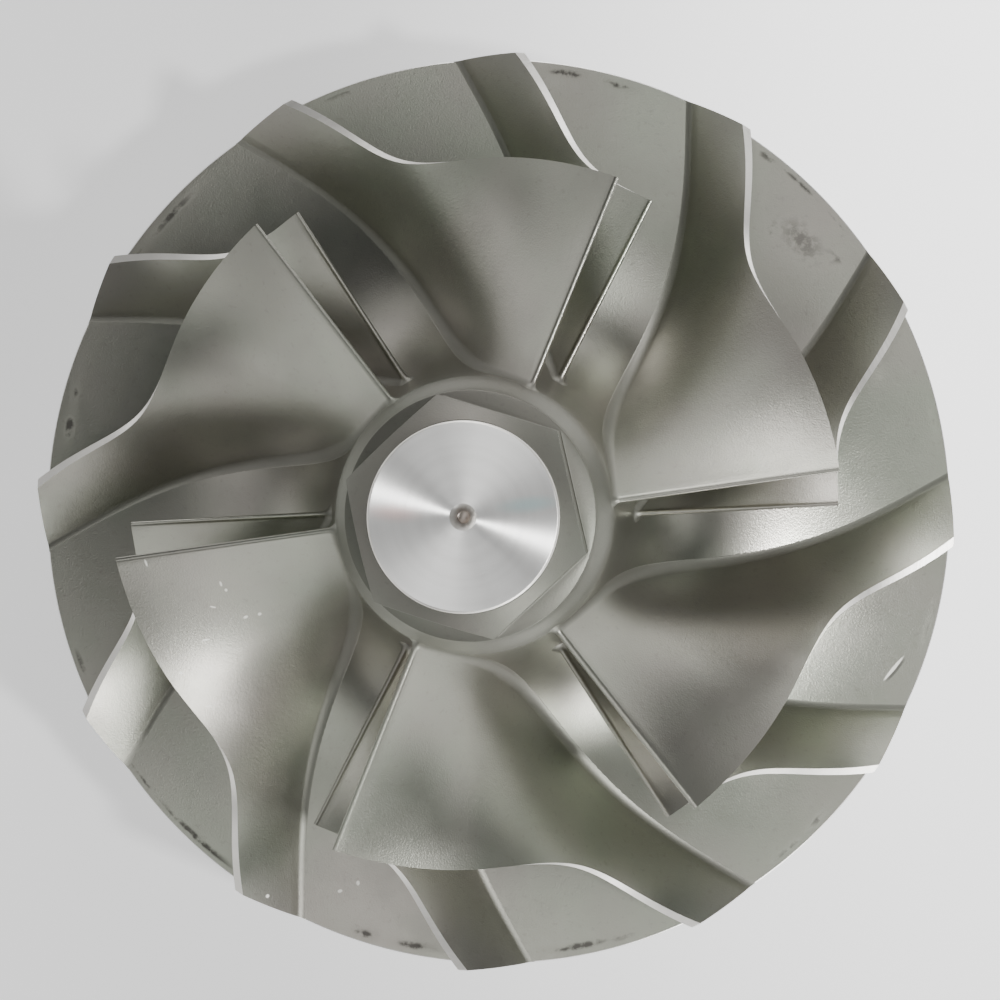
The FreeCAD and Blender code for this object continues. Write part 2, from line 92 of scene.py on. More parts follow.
def wrap_h(m):
    a0, a1, c0, c1, c2 = WRAP_H
    x = np.minimum(m, 1.0)
    v = a0 + (a1 - a0) * x + x * (1 - x) * (c0 + c1 * x + c2 * x * x)
    return np.radians(v + ((a1 - a0) - (c0 + c1 + c2)) * np.clip(m - 1, 0, None))


# ------------------------------------------------- meridian line of the hub
def shoulder_line():
    z0, z1 = 58.6, 61.85
    p = bez([(12.42, z0), (11.92, z0 + 0.85), (9.3 + 0.9, z1 - 0.75), (9.3, z1)], np.linspace(0, 1, 25))
    return p


FOOT = bez([(14.03, 46.89), (13.95, 49.2), (12.42, 50.0), (12.42, 51.6)], np.linspace(0, 1, 14))
FRONT = np.vstack([HUB_LINE[::-1], FOOT[1:], [[12.42, HEX_FLOOR]]])


def project_front(r, z):
    """Signed distance off the hub's front line, outwards positive, and its normal."""
    a, b = FRONT[:-1], FRONT[1:]
    d = b - a
    q = np.stack([r, z], -1)[:, None, :]
    t = np.clip(((q - a) * d).sum(-1) / (d * d).sum(-1), 0, 1)
    c = a + t[..., None] * d
    e = q - c
    dist = np.hypot(e[..., 0], e[..., 1])
    i = dist.argmin(1)
    n = np.arange(len(r))
    normal = unit(np.stack([d[i, 1], -d[i, 0]], -1))
    # the line runs from the rim up to the nose, so outwards is to its right
    normal = np.where((normal[:, :1] < -0.001) & (normal[:, 1:] < 0), -normal, normal)
    sign = (e[n, i] * normal).sum(-1)
    return sign, normal


# --------------------------------------------------------------------- blades
def blade_grid(start_h, start_s, turn, cols, seed):
    """Wrap-around grid of one blade: minus side from the disc's edge to the
    leading edge, round it, and the plus side back out."""
    nu = 420
    u = np.linspace(0, 1, nu)
    reach = 1.035
    mh = start_h + (reach - start_h) * u
    ms = start_s + (reach - start_s) * u

    def ends(du):
        a = mh + du
        b = ms + du
        ph = resample(HUB_LINE, np.clip(a, 0, None))
        ps = resample(SHROUD_LINE, np.clip(b, 0, None))
        th, ts = wrap_h(np.clip(a, 0, None)), wrap_s(np.clip(b, 0, None))
        return (np.stack([ph[:, 0] * np.cos(th), ph[:, 0] * np.sin(th), ph[:, 1]], -1),
                np.stack([ps[:, 0] * np.cos(ts), ps[:, 0] * np.sin(ts), ps[:, 1]], -1))

    root, tip = ends(0.0)
    d = 0.004
    r0, t0 = ends(-d)
    r1, t1 = ends(d)
    length = np.linalg.norm(tip - root, axis=1)
    along = (tip - root) / length[:, None]
    grow = smooth(u / LEAD_GROWTH)
    half_root = LEAD_ROOT_HALF * (1 - grow) + ROOT_HALF * grow
    half_tip = LEAD_TIP_HALF * (1 - grow) + TIP_HALF * grow
    tan_root, tan_tip = r1 - r0, t1 - t0

    def side(level, sgn):
        """Point on one side at this distance from the hub along the ruling."""
        share = (level / length)[:, None]
        tangent = tan_root * (1 - share) + tan_tip * share
        normal = unit(np.cross(tangent, along))
        x = np.clip(level / length, 0, 1)
        half = half_root * (1 - x) + half_tip * x
        return root + along * level[:, None] + sgn * normal * half[:, None], unit(tangent), half

    def shroud_gap(p):
        r = np.hypot(p[:, 0], p[:, 1])
        zs = SHROUD_LINE[::-1, 1]
        rs = SHROUD_LINE[::-1, 0]
        zz = p[:, 2]
        at = np.interp(zz, zs, rs)
        low = zz < zs[0]
        slope = (rs[1] - rs[0]) / (zs[1] - zs[0])
        at = np.where(low, rs[0] + slope * (zz - zs[0]), at)
        return r - at

    grids = {}
    arc_rows = 9
    wall_rows = 15
    T = unit(tan_root)
    for sgn in (-1, 1):
        lo, hi = length * 0.5, length + 4.0
        for _ in range(32):
            mid = 0.5 * (lo + hi)
            g = shroud_gap(side(mid, sgn)[0])
            lo = np.where(g < 0, mid, lo)
            hi = np.where(g < 0, hi, mid)
        top = 0.5 * (lo + hi)
        # cross-section frame at the root
        rr = np.hypot(root[:, 0], root[:, 1])
        _, nrm = project_front(rr, root[:, 2])
        hub_n = np.stack([nrm[:, 0] * root[:, 0] / rr, nrm[:, 0] * root[:, 1] / rr, nrm[:, 1]], -1)
        e2 = unit(hub_n - T * (hub_n * T).sum(-1, keepdims=True))
        side_n = side(np.zeros(nu), sgn)[0] - root
        e1 = unit(side_n - e2 * (side_n * e2).sum(-1, keepdims=True)
                  - T * (side_n * T).sum(-1, keepdims=True))
        ap = along - T * (along * T).sum(-1, keepdims=True)
        apl = np.linalg.norm(ap, axis=1)
        a2 = ap / apl[:, None]
        psi = np.arccos(np.clip((a2 * e1).sum(-1), -0.985, 0.985))
        full = FILLET * (LEAD_FILLET + (1 - LEAD_FILLET) * smooth(u / LEAD_FILLET_RUN))
        radius = np.minimum(full, 2.7 * np.tan(psi / 2))
        radius = np.minimum(radius, 0.42 * (top * apl) * np.tan(psi / 2))
        tau = radius / np.tan(psi / 2)
        corner = half_root / np.sin(psi)
        level_t = (half_root / np.tan(psi) + tau) / apl
        start, _, _ = side(level_t, sgn)
        centre = (corner + tau)[:, None] * e1 + radius[:, None] * e2
        rows = []
        # from under the hub, round the fillet, up the wall
        foot = root + (corner + tau)[:, None] * e1
        arc0 = -math.pi / 2
        arc1 = arc0 - (math.pi - psi)
        shift_end = start - (root + corner[:, None] * e1 + tau[:, None] * a2)
        rel = []
        for k in range(arc_rows):
            f = k / (arc_rows - 1.0)
            ang = arc0 + (arc1 - arc0) * f
            p = root + centre + radius[:, None] * (np.cos(ang)[:, None] * e1 + np.sin(ang)[:, None] * e2)
            p = p + shift_end * f * f
            # lay the foot of the fillet on the curved hub
            r = np.hypot(p[:, 0], p[:, 1])
            gap, nn = project_front(r, p[:, 2])
            height = radius * (1 + np.sin(ang)) * 1.0
            move = (height - 0.015 - gap) * (1 - f) ** 1.5
            dr, dz = nn[:, 0] * move, nn[:, 1] * move
            p = p + np.stack([p[:, 0] / r * dr, p[:, 1] / r * dr, dz], -1)
            rel.append(p)
        # a skirt that sinks into the hub from the fillet's foot
        r = np.hypot(rel[0][:, 0], rel[0][:, 1])
        _, nn = project_front(r, rel[0][:, 2])
        skirt = rel[0] - 0.35 * np.stack([nn[:, 0] * rel[0][:, 0] / r, nn[:, 0] * rel[0][:, 1] / r, nn[:, 1]], -1)
        rows.append(skirt)
        rows += rel
        for k in range(1, wall_rows + 1):
            f = (k / wall_rows)
            rows.append(side(level_t + (top - level_t) * f, sgn)[0])
        grids[sgn] = np.stack(rows, 0)          # rows x nu x 3

    nrows = grids[1].shape[0]
    # cut each row at the disc's edge and spread the columns
    f = np.linspace(0, 1, cols)
    f = f ** 1.15 * 0.6 + f * 0.4
    out = {}
    for sgn in (-1, 1):
        g = grids[sgn]
        rows = []
        for j in range(nrows):
            r = np.hypot(g[j, :, 0], g[j, :, 1])
            i = np.argmax((r > DISC_EDGE) & (u > 0.7))
            ue = u[i - 1] + (DISC_EDGE - r[i - 1]) / (r[i] - r[i - 1]) * (u[i] - u[i - 1])
            uu = f * ue
            rows.append(np.stack([np.interp(uu, u, g[j, :, k]) for k in range(3)], -1))
        out[sgn] = np.stack(rows, 0)
    # leading edge: cubic nose on each row
    M, P = out[-1][:, 0], out[1][:, 0]
    share = np.clip(np.linalg.norm((M + P) / 2 - root[0], axis=1) / length[0], 0, 1)[:, None]
    direction = unit(tan_root[0][None] * (1 - share) + tan_tip[0][None] * share)
    width = np.linalg.norm(P - M, axis=1)
    thin = 2 * (half_root[0] * (1 - share[:, 0]) + half_tip[0] * share[:, 0])
    extra = np.clip(width - thin, 0, None) / 2
    bulge = (1.0 * thin + 1.15 * extra)[:, None]
    nose = []
    steps = 9
    for k in range(1, steps):
        t = k / steps
        a, b = M - direction * bulge, P - direction * bulge
        p = (1 - t) ** 3 * M + 3 * (1 - t) ** 2 * t * a + 3 * (1 - t) * t * t * b + t ** 3 * P
        nose.append(p)
    nose = np.stack(nose, 1)
    # keep the foot of the nose fillet on the hub
    for j in range(0, arc_rows + 1):
        fj = max(0.0, (j - 1) / (arc_rows - 1.0))
        p = nose[j]
        r = np.hypot(p[:, 0], p[:, 1])
        gap, nn = project_front(r, p[:, 2])
        ends_gap = []
        for q in (M[j:j + 1], P[j:j + 1]):
            ends_gap.append(project_front(np.hypot(q[:, 0], q[:, 1]), q[:, 2])[0][0])
        want = 0.5 * (ends_gap[0] + ends_gap[1])
        move = (want - gap) * (1 - fj) ** 1.5
        dr, dz = nn[:, 0] * move, nn[:, 1] * move
        nose[j] = p + np.stack([p[:, 0] / r * dr, p[:, 1] / r * dr, dz], -1)
    wrap = np.concatenate([out[-1][:, ::-1], nose, out[1]], axis=1)
    a = math.radians(turn)
    c, s = math.cos(a), math.sin(a)
    R = np.array([[c, -s, 0], [s, c, 0], [0, 0, 1]])
    return wrap @ R.T, cols, steps - 1, nrows


# --------------------------------------------------------------- mesh helpers
class Builder:
    def __init__(self):
        self.v, self.f, self.m, self.tag = [], [], [], []
        self.n = 0

    def grid(self, g, material, flip=False, closed=False, tag=None):
        """g is rows x columns x 3."""
        rows, cols = g.shape[:2]
        base = self.n
        self.v.append(g.reshape(-1, 3))
        self.tag.append(np.zeros(rows * cols) if tag is None else np.asarray(tag, float).reshape(-1))
        self.n += rows * cols
        jj = np.arange(rows - 1)
        ii = np.arange(cols if closed else cols - 1)
        J, I = np.meshgrid(jj, ii, indexing="ij")
        I2 = (I + 1) % cols
        a = base + J * cols + I
        b = base + J * cols + I2
        c = base + (J + 1) * cols + I2
        d = base + (J + 1) * cols + I
        q = np.stack([a, b, c, d] if not flip else [a, d, c, b], -1).reshape(-1, 4)
        self.f.append(q)
        self.m.append(np.full(len(q), material))

    def ring(self, g, material, flip=False, tag=None):
        self.grid(g, material, flip, True, tag)

    def fan(self, ring, centre, material, flip=False):
        base = self.n
        n = len(ring)
        self.v.append(np.vstack([ring, centre[None]]))
        self.tag.append(np.zeros(n + 1))
        self.n += n + 1
        i = np.arange(n)
        tri = np.stack([base + i, base + (i + 1) % n, np.full(n, base + n)], -1)
        if flip:
            tri = tri[:, ::-1]
        self.f.append(tri)
        self.m.append(np.full(n, material))

    def build(self, name, materials, smooth_angle=None):
        verts = np.vstack(self.v) * 0.001
        faces = []
        for block in self.f:
            faces.extend(block.tolist())
        mesh = bpy.data.meshes.new(name)
        mesh.from_pydata(verts.tolist(), [], faces)
        for mat in materials:
            mesh.materials.append(mat)
        mesh.polygons.foreach_set("material_index", np.concatenate(self.m).astype(np.int32))
        mesh.polygons.foreach_set("use_smooth", np.ones(len(faces), bool))
        # per-vertex darkening: positive for dark rim marks (one a painted shadow), negative for painted shade in the
        # root fillets and at the nose's foot
        attribute = mesh.attributes.new("dark_marks_and_painted_shade", "FLOAT", "POINT")
        attribute.data.foreach_set("value", np.concatenate(self.tag).astype(np.float32))
        mesh.update()
        obj = bpy.data.objects.new(name, mesh)
        bpy.context.scene.collection.objects.link(obj)
        return obj


SEG = 324
PHI = np.radians(HEX_PHASE + np.arange(SEG) * 360.0 / SEG)


def lathe(profile):
    """rows x SEG x 3 grid from a list of (radius, height)."""
    p = np.asarray(profile, float)
    return np.stack([p[:, :1] * np.cos(PHI)[None], p[:, :1] * np.sin(PHI)[None],
                     np.repeat(p[:, 1:], SEG, 1)], -1)


CAST, EDGE, TURNED, REAR, BORE, LAND, NOSE = 0, 1, 2, 3, 4, 5, 6

# Dark marks near the rim of the disc, darkened in colour: angle, radius, angular spread, radial spread, strength. The
# mark at 21.0 degrees is a painted shadow of a splitter's tip edge on the disc.
RIM_DARK_MARKS_AND_SHADOW = [(80.6, 50.0, 2.2, 0.42, 1.0), (73.9, 49.95, 1.6, 0.35, 0.95), (52.4, 50.2, 1.0, 0.4, 0.95),
           (46.9, 50.3, 3.6, 0.32, 0.75), (40.0, 50.3, 3.0, 0.3, 0.5), (227.3, 50.2, 7.0, 0.30, 1.0),
           (217.5, 50.3, 3.5, 0.28, 0.7), (252.9, 50.0, 1.2, 0.42, 1.0), (259.6, 49.95, 2.4, 0.40, 1.0),
           (281.1, 49.9, 3.9, 0.42, 0.9), (287.0, 50.1, 2.0, 0.35, 0.6), (168.6, 49.4, 1.6, 0.5, 0.95),
           (164.4, 49.6, 1.0, 0.4, 0.8), (137.2, 49.8, 4.6, 0.42, 0.75), (145.0, 50.0, 2.2, 0.35, 0.6),
           (21.0, 45.4, 1.6, 0.8, 0.75), (41.3, 46.0, 5.5, 2.4, 0.55), (36.5, 47.6, 1.4, 0.6, 0.7), (45.5, 44.4, 1.6, 0.7, 0.6), (311.0, 50.2, 3.0, 0.35, 0.6),
           (316.5, 50.1, 1.6, 0.35, 0.7), (345.0, 50.2, 3.0, 0.3, 0.5), (200.0, 50.2, 2.6, 0.35, 0.65),
           (110.0, 50.2, 4.5, 0.3, 0.6), (98.0, 50.2, 2.0, 0.3, 0.5), (12.0, 50.2, 2.5, 0.3, 0.5)]


def rim_mark_and_shadow_tag(grid):
    x, y = grid[..., 0], grid[..., 1]
    r = np.hypot(x, y)
    th = np.degrees(np.arctan2(y, x))
    tag = np.zeros_like(r)
    for a, rr, da, dr, s in RIM_DARK_MARKS_AND_SHADOW:
        dth = (th - a + 180) % 360 - 180
        tag = np.maximum(tag, s * np.exp(-(dth / da) ** 2 - ((r - rr) / dr) ** 2))
    return tag


def fillet_tag(grid, arc_rows=9):
    """Negative marks along a blade's root fillet, fading into the wall above it: painted shade (darker colour) and a
    rougher surface in the fillet.
    """
    rows = np.zeros(grid.shape[0])
    f = np.linspace(0, 1, arc_rows)
    rows[1:arc_rows + 1] = -(0.25 + 0.75 * np.sin(math.pi * np.clip(f * 1.05, 0, 1)) ** 0.7)
    rows[0] = -0.25
    rows[arc_rows + 1] = -0.12
    return np.repeat(rows[:, None], grid.shape[1], 1)


def build_wheel(materials):
    b = Builder()
    # disc front and hub, from the rim edge inwards and up to the foot of the hexagon
    line = resample(HUB_LINE[::-1], np.linspace(0, 1, 74))
    fine = resample(HUB_LINE[::-1], np.array([0, 0.006, 0.012, 0.018, 0.024, 0.03, 0.036, 0.042, 0.048, 0.056]))
    front = np.vstack([[[50.9, 14.0]], fine[1:], line[5:], FOOT[1:], [[12.42, HEX_FLOOR - 0.08]]])
    g = lathe(front)
    # the foot of the nose is rougher and carries painted shade, like the blades' root fillets
    nose_foot_shade = np.interp(front[:, 1], [43.5, 47.2, 51.0, 53.0], [0.0, 1.0, 1.0, 0.9])
    b.ring(g, CAST, tag=rim_mark_and_shadow_tag(g) - nose_foot_shade[:, None])
    # rim: broken edges and the turned cylinder
    b.ring(lathe([(50.9, 14.0), (50.9985, 13.92)]), LAND, flip=True)
    b.ring(lathe([(50.9985, 13.92), (50.9985, 13.2), (50.9985, 12.35)]), LAND, flip=True)
    b.ring(lathe([(50.9985, 12.35), (50.75, 12.1)]), LAND, flip=True)
    # rear face, boss
    back = bez([(46.0, 12.1), (36.0, 12.1), (26.5, 6.4), (16.6, 4.8)], np.linspace(0, 1, 22))
    root = bez([(16.6, 4.8), (15.8, 4.68), (15.0, 4.2), (15.0, 3.2)], np.linspace(0, 1, 9))
    rear = np.vstack([[[50.75, 12.1]], [[48.5, 12.1]], back, root[1:]])
    b.ring(lathe(rear), REAR, flip=True)
    b.ring(lathe([(15.0, 3.2), (15.0, 1.8), (15.0, 0.5)]), LAND, flip=True)
    b.ring(lathe([(15.0, 0.5), (14.5, 0.0)]), LAND, flip=True)
    b.ring(lathe([(14.5, 0.0), (12.0, 0.0), (9.0, 0.0), (6.7, 0.0)]), TURNED, flip=True)
    b.ring(lathe([(6.7, 0.0), (6.3, 0.4)]), LAND, flip=True)
    b.ring(lathe([(6.3, 0.4), (6.3, 3.0), (6.3, 5.5)]), BORE, flip=True)
    # internal thread, 1.25 pitch, one start, right hand: ridges down to the drilled radius
    turns = 15
    per = 48
    k = np.arange(turns * per + 1)
    ang = k * 2 * math.pi / per
    z0 = 6.0 + k * 1.25 / per
    prof = [(5.97, 0.0), (5.43, 0.31), (5.43, 0.47), (5.97, 0.78), (5.97, 1.25)]
    fade = np.clip(np.minimum(k, k[-1] - k) / (0.6 * per), 0, 1)
    rows = []
    for r, dz in prof:
        rad = 5.97 - (5.97 - r) * fade
        rows.append(np.stack([rad * np.cos(ang), rad * np.sin(ang), z0 + dz], -1))
    b.grid(np.stack(rows, 0), BORE, flip=True)
    b.ring(lathe([(6.3, 5.5), (5.98, 5.5)]), BORE, flip=True)
    b.ring(lathe([(5.98, 5.5), (5.98, 15.0), (5.98, 26.3)]), BORE, flip=True)
    b.ring(lathe([(5.98, 26.3), (5.4, 26.6)]), BORE, flip=True)
    b.ring(lathe([(5.4, 26.6), (5.4, 27.0), (0.02, 30.2)]), BORE, flip=True)

    # ledge under the hexagon
    delta = (np.degrees(PHI) - HEX_PHASE + 30) % 60 - 30
    hexr = HEX_HALF / np.cos(np.radians(delta))

    def ring(radius, height):
        radius = np.broadcast_to(radius, (SEG,))
        height = np.broadcast_to(height, (SEG,))
        return np.stack([radius * np.cos(PHI), radius * np.sin(PHI), height], -1)

    b.ring(np.stack([ring(12.42, HEX_FLOOR - 0.08), ring(12.36, HEX_FLOOR - 0.02),
                     ring(np.minimum(hexr + 0.2, 12.33), HEX_FLOOR),
                     ring(np.minimum(hexr + 0.09, 12.3), HEX_FLOOR + 0.03),
                     ring(hexr + 0.02, HEX_FLOOR + 0.11), ring(hexr, HEX_FLOOR + 0.2)], 0), NOSE)
    # hexagon walls up to the shoulder, whose height there follows its radius
    sh = shoulder_line()
    sr, sz = sh[:, 0], sh[:, 1]
    meet = np.interp(-hexr, -sr, sz)          # height where the shoulder meets the flat
    walls = []
    for f in np.linspace(0, 1, 7):
        z = (HEX_FLOOR + 0.2) + (meet - 0.12 - HEX_FLOOR - 0.2) * f
        walls.append(ring(hexr, z))
    walls.append(ring(hexr - 0.035, meet - 0.03))
    b.ring(np.stack(walls, 0), NOSE)
    crown = []
    for f in np.linspace(0, 1, 15):
        r = (hexr - 0.035) + (9.3 - (hexr - 0.035)) * f
        crown.append(ring(r, np.interp(-r, -sr, sz) - 0.02 * (1 - f)))
    b.ring(np.stack(crown, 0), NOSE)
    b.ring(lathe([(9.3, 61.85), (9.2, 61.85)]), NOSE)
    b.ring(lathe([(9.2, 61.85), (9.2, 62.18)]), LAND)
    b.ring(lathe([(9.2, 62.18), (9.12, 62.33), (8.98, 62.4)]), EDGE)
    b.ring(lathe([(8.98, 62.4), (8.0, 62.4), (6.5, 62.4), (5.0, 62.4), (3.5, 62.4), (2.3, 62.4), (1.3, 62.4)]), TURNED)
    b.ring(lathe([(1.3, 62.4), (1.22, 62.3), (0.62, 61.22)]), LAND)
    b.ring(lathe([(0.62, 61.22), (0.62, 60.45)]), BORE)
    b.fan(ring(0.62, 60.45), np.array([0, 0, 60.1]), BORE)

    # blades
    for index in range(6):
        for kind in ("main", "splitter"):
            if kind == "main":
                g, cols, mid, nrows = blade_grid(0.0, 0.0, 60.0 * index, 60, index)
            else:
                g, cols, mid, nrows = blade_grid(0.245, 0.333, 60.0 * index - 30.0, 46, index)
            b.grid(g, CAST, tag=fillet_tag(g))
            # machined tip land: between the top rows of the two sides
            top = g[-1]
            minus = top[:cols][::-1]
            plus = top[cols + mid:]
            land = np.stack([minus, minus + (plus - minus) * 0.5, plus], 0)
            b.grid(land, EDGE)
            # cap of the leading edge's end
            lead = top[cols - 1:cols + mid + 1]
            centre = (lead[0] + lead[-1]) / 2
            base = b.n
            b.v.append(np.vstack([lead, centre[None]]))
            b.tag.append(np.zeros(len(lead) + 1))
            b.n += len(lead) + 1
            i = np.arange(len(lead) - 1)
            tri = np.stack([base + i, base + i + 1, np.full(len(i), base + len(lead))], -1)
            b.f.append(tri)
            b.m.append(np.full(len(tri), EDGE))
            # trailing edge, on the disc's edge cylinder
            a, c = g[:, 0], g[:, -1]
            strip = []
            for f in np.linspace(0, 1, 6):
                p = a + (c - a) * f
                r = np.hypot(p[:, 0], p[:, 1])
                p = np.stack([p[:, 0] * DISC_EDGE / r, p[:, 1] * DISC_EDGE / r, p[:, 2]], -1)
                strip.append(p)
            b.grid(np.stack(strip, 0), CAST)
    return b


# ------------------------------------------------------------------ materials
class Nodes:
    """Small helper to wire shader nodes."""

    def __init__(self, name):
        self.mat = bpy.data.materials.new(name)
        self.mat.use_nodes = True
        self.tree = self.mat.node_tree
        self.tree.nodes.clear()
        self.out = self.tree.nodes.new("ShaderNodeOutputMaterial")
        self.bsdf = self.tree.nodes.new("ShaderNodeBsdfPrincipled")
        self.tree.links.new(self.bsdf.outputs[0], self.out.inputs[0])
        self.coord = self.tree.nodes.new("ShaderNodeTexCoord").outputs["Object"]

    def link(self, a, b):
        self.tree.links.new(a, b)

    def put(self, socket, value):
        if isinstance(value, (int, float)):
            socket.default_value = value
        elif isinstance(value, (tuple, list)):
            socket.default_value = value
        else:
            self.link(value, socket)

    def math(self, op, a, b=0.0, c=0.0, clamp=False):
        n = self.tree.nodes.new("ShaderNodeMath")
        n.operation = op
        n.use_clamp = clamp
        self.put(n.inputs[0], a)
        self.put(n.inputs[1], b)
        self.put(n.inputs[2], c)
        return n.outputs[0]

    def vec(self, op, a, b=(0, 0, 0)):
        n = self.tree.nodes.new("ShaderNodeVectorMath")
        n.operation = op
        self.put(n.inputs[0], a)
        self.put(n.inputs[1], b)
        return n.outputs["Value"] if op in ("LENGTH", "DISTANCE", "DOT_PRODUCT") else n.outputs[0]

    def noise(self, vector, scale, detail=3.0, rough=0.5):
        n = self.tree.nodes.new("ShaderNodeTexNoise")
        self.put(n.inputs["Vector"], vector)
        n.inputs["Scale"].default_value = scale
        n.inputs["Detail"].default_value = detail
        n.inputs["Roughness"].default_value = rough
        return n.outputs["Fac"]

    def span(self, value, a, b, c, d, smooth=False):
        n = self.tree.nodes.new("ShaderNodeMapRange")
        if smooth:
            n.interpolation_type = "SMOOTHSTEP"
        self.put(n.inputs[0], value)
        for i, x in enumerate((a, b, c, d)):
            n.inputs[i + 1].default_value = x
        return n.outputs[0]

    def mix(self, fac, a, b):
        n = self.tree.nodes.new("ShaderNodeMix")
        n.data_type = "RGBA"
        self.put(n.inputs["Factor"], fac)
        self.put(n.inputs[6], a)
        self.put(n.inputs[7], b)
        return n.outputs[2]

    def bump(self, height, strength, distance, after=None):
        n = self.tree.nodes.new("ShaderNodeBump")
        n.inputs["Strength"].default_value = strength
        n.inputs["Distance"].default_value = distance
        self.put(n.inputs["Height"], height)
        if after is not None:
            self.link(after, n.inputs["Normal"])
        return n.outputs[0]

    def polar(self):
        """Radius and turn about the wheel's axis, from object coordinates."""
        sep = self.tree.nodes.new("ShaderNodeSeparateXYZ")
        self.link(self.coord, sep.inputs[0])
        x, y, z = sep.outputs
        r = self.math("SQRT", self.math("ADD", self.math("MULTIPLY", x, x), self.math("MULTIPLY", y, y)))
        return x, y, z, r

    def spot(self, centre, half, turn, inner=0.65, outer=1.15):
        """1 inside an ellipsoid (mm, turned about Z by degrees), fading to 0 outside."""
        n = self.tree.nodes.new("ShaderNodeMapping")
        n.vector_type = "TEXTURE"
        n.inputs["Location"].default_value = tuple(c * 0.001 for c in centre)
        n.inputs["Rotation"].default_value = (0.0, 0.0, math.radians(turn))
        n.inputs["Scale"].default_value = tuple(c * 0.001 for c in half)
        self.link(self.coord, n.inputs["Vector"])
        return self.span(self.vec("LENGTH", n.outputs[0]), inner, outer, 1.0, 0.0, True)

    def combine(self, x, y, z):
        n = self.tree.nodes.new("ShaderNodeCombineXYZ")
        self.put(n.inputs[0], x)
        self.put(n.inputs[1], y)
        self.put(n.inputs[2], z)
        return n.outputs[0]


def rgb(r, g, b):
    return (r, g, b, 1.0)


# Small bright dings and one scratch: place on the wheel, half sizes and turn, in mm and degrees
NICKS = [((-26.41, -7.13, 42.67), (0.13, 0.42, 0.42), 8), ((-24.47, -10.75, 38.46), (0.30, 0.20, 0.30), 30),
         ((-23.06, -10.44, 38.18), (0.20, 0.28, 0.28), 0), ((-28.75, -13.19, 37.95), (0.55, 0.12, 0.25), 10),
         ((-31.63, -16.76, 36.61), (0.20, 0.20, 0.30), 0), ((-29.30, -20.54, 32.76), (0.60, 0.13, 0.30), 5),
         ((-33.62, -4.92, 45.58), (0.12, 0.55, 0.50), 12), ((-25.31, -43.15, 17.17), (0.22, 0.22, 0.30), 0),
         ((-17.47, -42.96, 14.22), (0.30, 0.20, 0.30), 20), ((-15.41, -42.02, 14.36), (0.22, 0.30, 0.30), 0),
         ((-25.99, -7.80, 41.93), (0.16, 0.22, 0.30), 0), ((-27.60, -9.60, 40.60), (0.40, 0.10, 0.25), -15)]
SCRATCH = ((44.77, -17.51, 14.11), (1.75, 0.19, 0.40), 50.7)


def cast_metal(name="cast_aluminium", shade_of=1.0, gloss=0.0):
    n = Nodes(name)
    cloud = n.noise(n.coord, 42.0, 3.0, 0.55)
    patch = n.noise(n.vec("ADD", n.coord, (0.31, 0.17, 0.08)), 130.0, 4.0, 0.6)
    grain = n.noise(n.coord, 5200.0, 2.0, 0.6)
    speck = n.noise(n.vec("ADD", n.coord, (0.7, 0.2, 0.4)), 1500.0, 3.0, 0.55)
    base = n.mix(n.span(cloud, 0.35, 0.65, 0, 1), rgb(0.354, 0.337, 0.302), rgb(0.328, 0.345, 0.288))
    base = n.mix(n.span(patch, 0.42, 0.72, 0, 0.30), base, rgb(0.290, 0.277, 0.252))
    base = n.mix(n.span(speck, 0.60, 0.74, 0, 0.22), base, rgb(0.18, 0.17, 0.155))
    attr = n.tree.nodes.new("ShaderNodeAttribute")
    attr.attribute_name = "dark_marks_and_painted_shade"
    # Dark marks near the rim, darkened in colour and broken up by noise; one of them is a painted shadow of a
    # splitter's tip edge
    blot = n.noise(n.coord, 900.0, 3.0, 0.6)
    rim_mark_and_shadow = n.math("MULTIPLY", attr.outputs["Fac"], n.span(blot, 0.30, 0.55, 0.35, 1.15), clamp=True)
    base = n.mix(n.span(rim_mark_and_shadow, 0.25, 0.8, 0, 0.88, True), base, rgb(0.075, 0.07, 0.065))
    # Painted shade in the blades' root fillets and at the nose's foot: the colour is darkened there and the surface
    # made rougher
    inner = n.math("MULTIPLY", attr.outputs["Fac"], -1.0, clamp=True)
    base = n.mix(n.math("MULTIPLY", inner, 0.62), base, rgb(0.150, 0.150, 0.132))
    # shade_of below 1 paints shade over the whole material
    if shade_of < 1.0:
        base = n.mix(1.0 - shade_of, base, rgb(0.0, 0.0, 0.0))
    bright = n.spot(*SCRATCH)
    for nick in NICKS:
        bright = n.math("MAXIMUM", bright, n.math("MULTIPLY", n.spot(*nick), 0.75))
    place, half, turn = SCRATCH
    # Painted shade along one side of the scratch; the bright stroke itself is exposed metal
    shade = n.spot((place[0] + 0.22, place[1] - 0.18, place[2]), (1.7, 0.24, 0.4), turn)
    base = n.mix(n.math("MULTIPLY", shade, 0.65), base, rgb(0.09, 0.088, 0.08))
    base = n.mix(bright, base, rgb(0.93, 0.92, 0.86))
    n.link(base, n.bsdf.inputs["Base Color"])
    n.bsdf.inputs["Metallic"].default_value = 1.0
    rough = n.math("ADD", n.span(patch, 0.3, 0.7, 0.28, 0.34), n.math("MULTIPLY", rim_mark_and_shadow, 0.25))
    rough = n.math("ADD", rough, n.math("MULTIPLY", bright, 0.35), clamp=True)
    rough = n.math("ADD", rough, n.math("MULTIPLY", inner, 0.22), clamp=True)
    rough = n.math("ADD", rough, gloss, clamp=True)
    n.link(rough, n.bsdf.inputs["Roughness"])
    h = n.bump(grain, 0.30, 0.00006)
    h = n.bump(speck, 0.10, 0.00008, h)
    n.link(h, n.bsdf.inputs["Normal"])
    return n.mat


